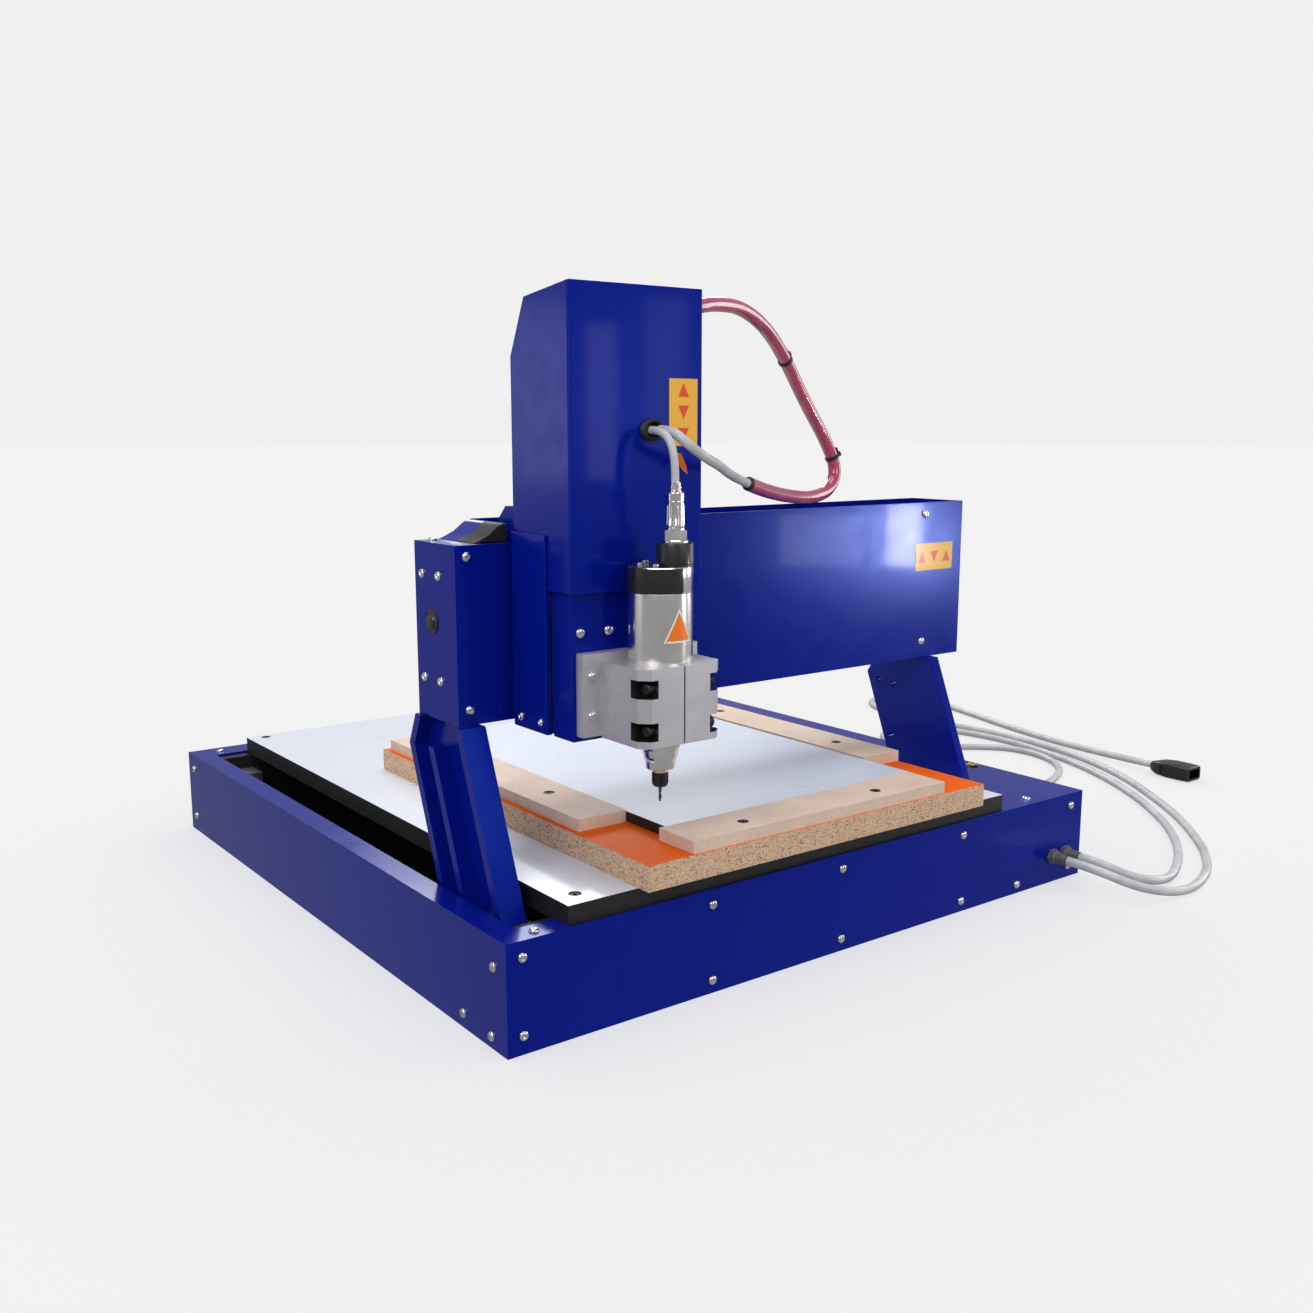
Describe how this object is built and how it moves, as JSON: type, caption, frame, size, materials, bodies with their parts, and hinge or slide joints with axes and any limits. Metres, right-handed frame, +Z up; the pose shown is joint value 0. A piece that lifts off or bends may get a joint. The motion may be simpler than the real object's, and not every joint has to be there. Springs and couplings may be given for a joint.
{
  "type": "cnc router",
  "caption": "Bench-top moving-gantry router: sheet-metal base with fixed table, leaning legs, covered beam, tall tower carriage and clamped spindle on a short vertical slide.",
  "frame": {"origin": "middle of the underside of the base, on the surface that it stands on", "axes": "+X to the operator's right, +Y from the front to the rear, +Z up"},
  "size_m": [1.593, 1.1095, 0.7425],
  "materials": {
    "blue_paint": "gloss",
    "steel": "satin",
    "bolt_steel": "bright",
    "aluminium": "satin",
    "clamp_alu": "satin",
    "pan_steel": "matt",
    "table_laminate": "satin laminate with black core",
    "particle_board": "orange laminate with raw board edges",
    "bar_board": "satin",
    "work_board": "satin",
    "dark_steel": "dark",
    "black_plastic": "satin",
    "black_rubber": "matt",
    "grey_cable": "satin",
    "red_conduit": "gloss",
    "polished": "polished",
    "motor_black": "satin",
    "carbide": "dark"
  },
  "bodies": {
    "base": {"front_panel": "blue_paint", "rear_panel": "blue_paint", "left_side_panel": "blue_paint", "right_side_panel": "blue_paint", "right_deck_plate": "blue_paint", "floor_pan": "pan_steel", "cross_members": "aluminium", "table_board": "table_laminate", "dark_screws": "dark_steel", "spoil_board": "particle_board", "clamp_bars": "bar_board", "work_sheet": "work_board", "y_guide_shafts": "polished", "y_feed_supports": "aluminium", "y_motor": "motor_black", "driver_box": "black_plastic", "base_bolts": "bolt_steel", "cable_glands": "black_plastic", "cable_a": "grey_cable", "cable_b": "grey_cable", "cable_plug": "black_plastic"},
    "y_screw": {"y_ball_screw": "steel"},
    "gantry": {"left_leg": "blue_paint", "right_leg": "blue_paint", "y_carriage_blocks": "aluminium", "cross_brace": "aluminium", "beam_profile": "aluminium", "beam_cover": "blue_paint", "beam_end_box": "blue_paint", "x_rails": "steel", "x_screw_mounts": "dark_steel", "x_motor": "motor_black", "gantry_bolts": "bolt_steel"},
    "x_screw": {"x_ball_screw": "steel"},
    "x_carriage": {"x_bearing_blocks": "steel", "saddle": "aluminium", "carriage_plate": "blue_paint", "carriage_cheeks": "blue_paint", "tower_housing": "blue_paint", "tower_front_cover": "blue_paint", "z_rails": "steel", "z_screw_mounts": "aluminium", "z_motor": "motor_black", "tower_glands": "black_rubber", "harness_cable": "grey_cable", "harness_conduit": "red_conduit", "spindle_lead": "grey_cable"},
    "z_screw": {"z_ball_screw": "steel"},
    "z_head": {"spindle_plate": "blue_paint", "slide_carrier": "aluminium", "z_bearing_blocks": "steel", "spindle_clamp": "clamp_alu", "slide_bolts": "bolt_steel", "spindle_body": "steel", "spindle_nose": "polished", "spindle_cap": "motor_black", "spindle_connector": "polished"},
    "rotor": {"rotor_shaft_core": "steel", "collet_nut": "dark_steel", "tool_bit": "carbide"}
  },
  "joints": [
    {"name": "y_slide", "type": "slide", "parent": "base", "child": "gantry", "axis": [0, 1, 0], "range_m": [-0.009, 0.59]},
    {"name": "y_screw_turn", "type": "hinge", "parent": "base", "child": "y_screw", "pos_m": [-0.0475, -0.07, 0.04], "axis": [0, 1, 0], "continuous": true},
    {"name": "x_slide", "type": "slide", "parent": "gantry", "child": "x_carriage", "axis": [1, 0, 0], "range_m": [-0.013, 0.47]},
    {"name": "x_screw_turn", "type": "hinge", "parent": "gantry", "child": "x_screw", "pos_m": [0, -0.275, 0.46], "axis": [1, 0, 0], "continuous": true},
    {"name": "z_slide", "type": "slide", "parent": "x_carriage", "child": "z_head", "axis": [0, 0, 1], "range_m": [-0.044, 0.052], "deforming": ["spindle_lead"]},
    {"name": "z_screw_turn", "type": "hinge", "parent": "x_carriage", "child": "z_screw", "pos_m": [-0.2665, -0.352, 0.45], "axis": [0, 0, 1], "continuous": true},
    {"name": "spindle_spin", "type": "hinge", "parent": "z_head", "child": "rotor", "pos_m": [-0.2665, -0.47, 0.3], "axis": [0, 0, 1], "continuous": true}
  ],
  "couplings": [
    {"joint": "y_screw_turn", "follows": "y_slide", "rad_per_m": 628.32},
    {"joint": "x_screw_turn", "follows": "x_slide", "rad_per_m": 628.32},
    {"joint": "z_screw_turn", "follows": "z_slide", "rad_per_m": 628.32}
  ]
}
